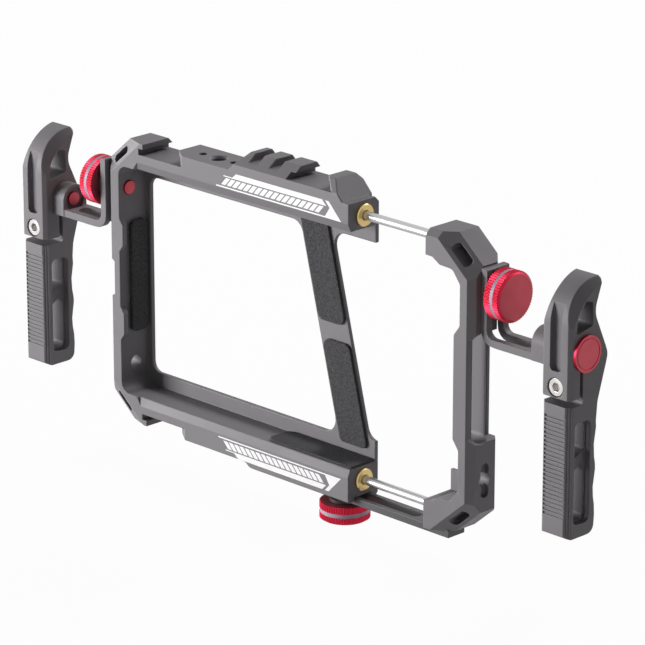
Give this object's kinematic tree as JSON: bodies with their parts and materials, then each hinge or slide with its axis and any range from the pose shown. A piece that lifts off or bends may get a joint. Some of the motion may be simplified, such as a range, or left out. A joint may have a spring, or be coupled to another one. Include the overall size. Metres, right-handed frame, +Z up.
{
  "type": "phone cage",
  "caption": "Telescopic phone cage: a main frame and a sliding end frame on guide rods, with a lock knob under the rail and a swivelling grip on an adjustable bracket at each end.",
  "frame": {"origin": "on the axis of the tripod socket, at its mouth under the main frame", "axes": "+X along the cage towards the sliding end, +Y to the back, away from the phone's screen, +Z up"},
  "size_m": [0.2658, 0.0252, 0.1245],
  "materials": {
    "anodised_grey": "satin grey anodised",
    "anodised_red": "red anodised",
    "bright_ring": "bright turned",
    "brass": "turned brass",
    "ground_steel": "ground and polished",
    "dark_rail": "dark anodised",
    "black_screw": "black oxide",
    "foam_pad": "matt black foam rubber",
    "black_plastic": "matt black"
  },
  "bodies": {
    "main": {"main_frame": "anodised_grey", "brace_pad_upper": "foam_pad", "brace_pad_lower": "foam_pad", "left_wall_pad": "foam_pad", "bottom_pad": "foam_pad", "top_bush": "brass", "bottom_bush": "brass"},
    "slide": {"slide_frame": "anodised_grey", "top_rod": "ground_steel", "bottom_rod": "ground_steel", "slide_rail": "dark_rail", "rail_screws": "bright_ring", "rod_set_screws": "black_screw"},
    "lock": {"lock_knob": "anodised_red", "lock_knob_ring": "bright_ring", "lock_stud": "anodised_red", "lock_washer": "black_plastic"},
    "left_arm": {"left_bracket": "anodised_grey", "left_pivot_bolt": "anodised_red"},
    "left_clamp": {"left_knob": "anodised_red", "left_knob_ring": "bright_ring", "left_stud": "anodised_red", "left_washer": "black_plastic"},
    "left_handle": {"left_grip": "anodised_grey"},
    "left_screw": {"left_clamp_screw": "bright_ring"},
    "right_arm": {"right_bracket": "anodised_grey", "right_pivot_bolt": "anodised_red"},
    "right_clamp": {"right_knob": "anodised_red", "right_knob_ring": "bright_ring", "right_stud": "anodised_red", "right_washer": "black_plastic"},
    "right_handle": {"right_grip": "anodised_grey"},
    "right_screw": {"right_clamp_screw": "bright_ring"}
  },
  "joints": [
    {"name": "frame_slide", "type": "slide", "parent": "main", "child": "slide", "axis": [1, 0, 0], "range_m": [-0.0345, 0.008]},
    {"name": "lock_turn", "type": "hinge", "parent": "main", "child": "lock", "pos_m": [0.0627, 0, -0.008], "axis": [0, 0, 1], "range_deg": [0, 360]},
    {"name": "left_bracket_slide", "type": "slide", "parent": "main", "child": "left_arm", "axis": [0, 0, 1], "range_m": [-0.0042, 0.0033]},
    {"name": "left_knob_turn", "type": "hinge", "parent": "main", "child": "left_clamp", "pos_m": [-0.057, -0.0024, 0.087], "axis": [1, 0, 0], "range_deg": [0, 360]},
    {"name": "left_grip_swivel", "type": "hinge", "parent": "left_arm", "child": "left_handle", "pos_m": [-0.0864, -0.0024, 0.0762], "axis": [1, 0, 0], "continuous": true},
    {"name": "left_clamp_screw_turn", "type": "hinge", "parent": "left_handle", "child": "left_screw", "pos_m": [-0.0864, -0.0024, 0.0646], "axis": [0, 1, 0], "range_deg": [0, 360]},
    {"name": "right_bracket_slide", "type": "slide", "parent": "slide", "child": "right_arm", "axis": [0, 0, 1], "range_m": [-0.003, 0.0045]},
    {"name": "right_knob_turn", "type": "hinge", "parent": "slide", "child": "right_clamp", "pos_m": [0.1348, 0.0024, 0.087], "axis": [1, 0, 0], "range_deg": [0, 360]},
    {"name": "right_grip_swivel", "type": "hinge", "parent": "right_arm", "child": "right_handle", "pos_m": [0.1642, 0.0024, 0.075], "axis": [1, 0, 0], "continuous": true},
    {"name": "right_clamp_screw_turn", "type": "hinge", "parent": "right_handle", "child": "right_screw", "pos_m": [0.1642, 0.0024, 0.0634], "axis": [0, 1, 0], "range_deg": [0, 360]}
  ]
}
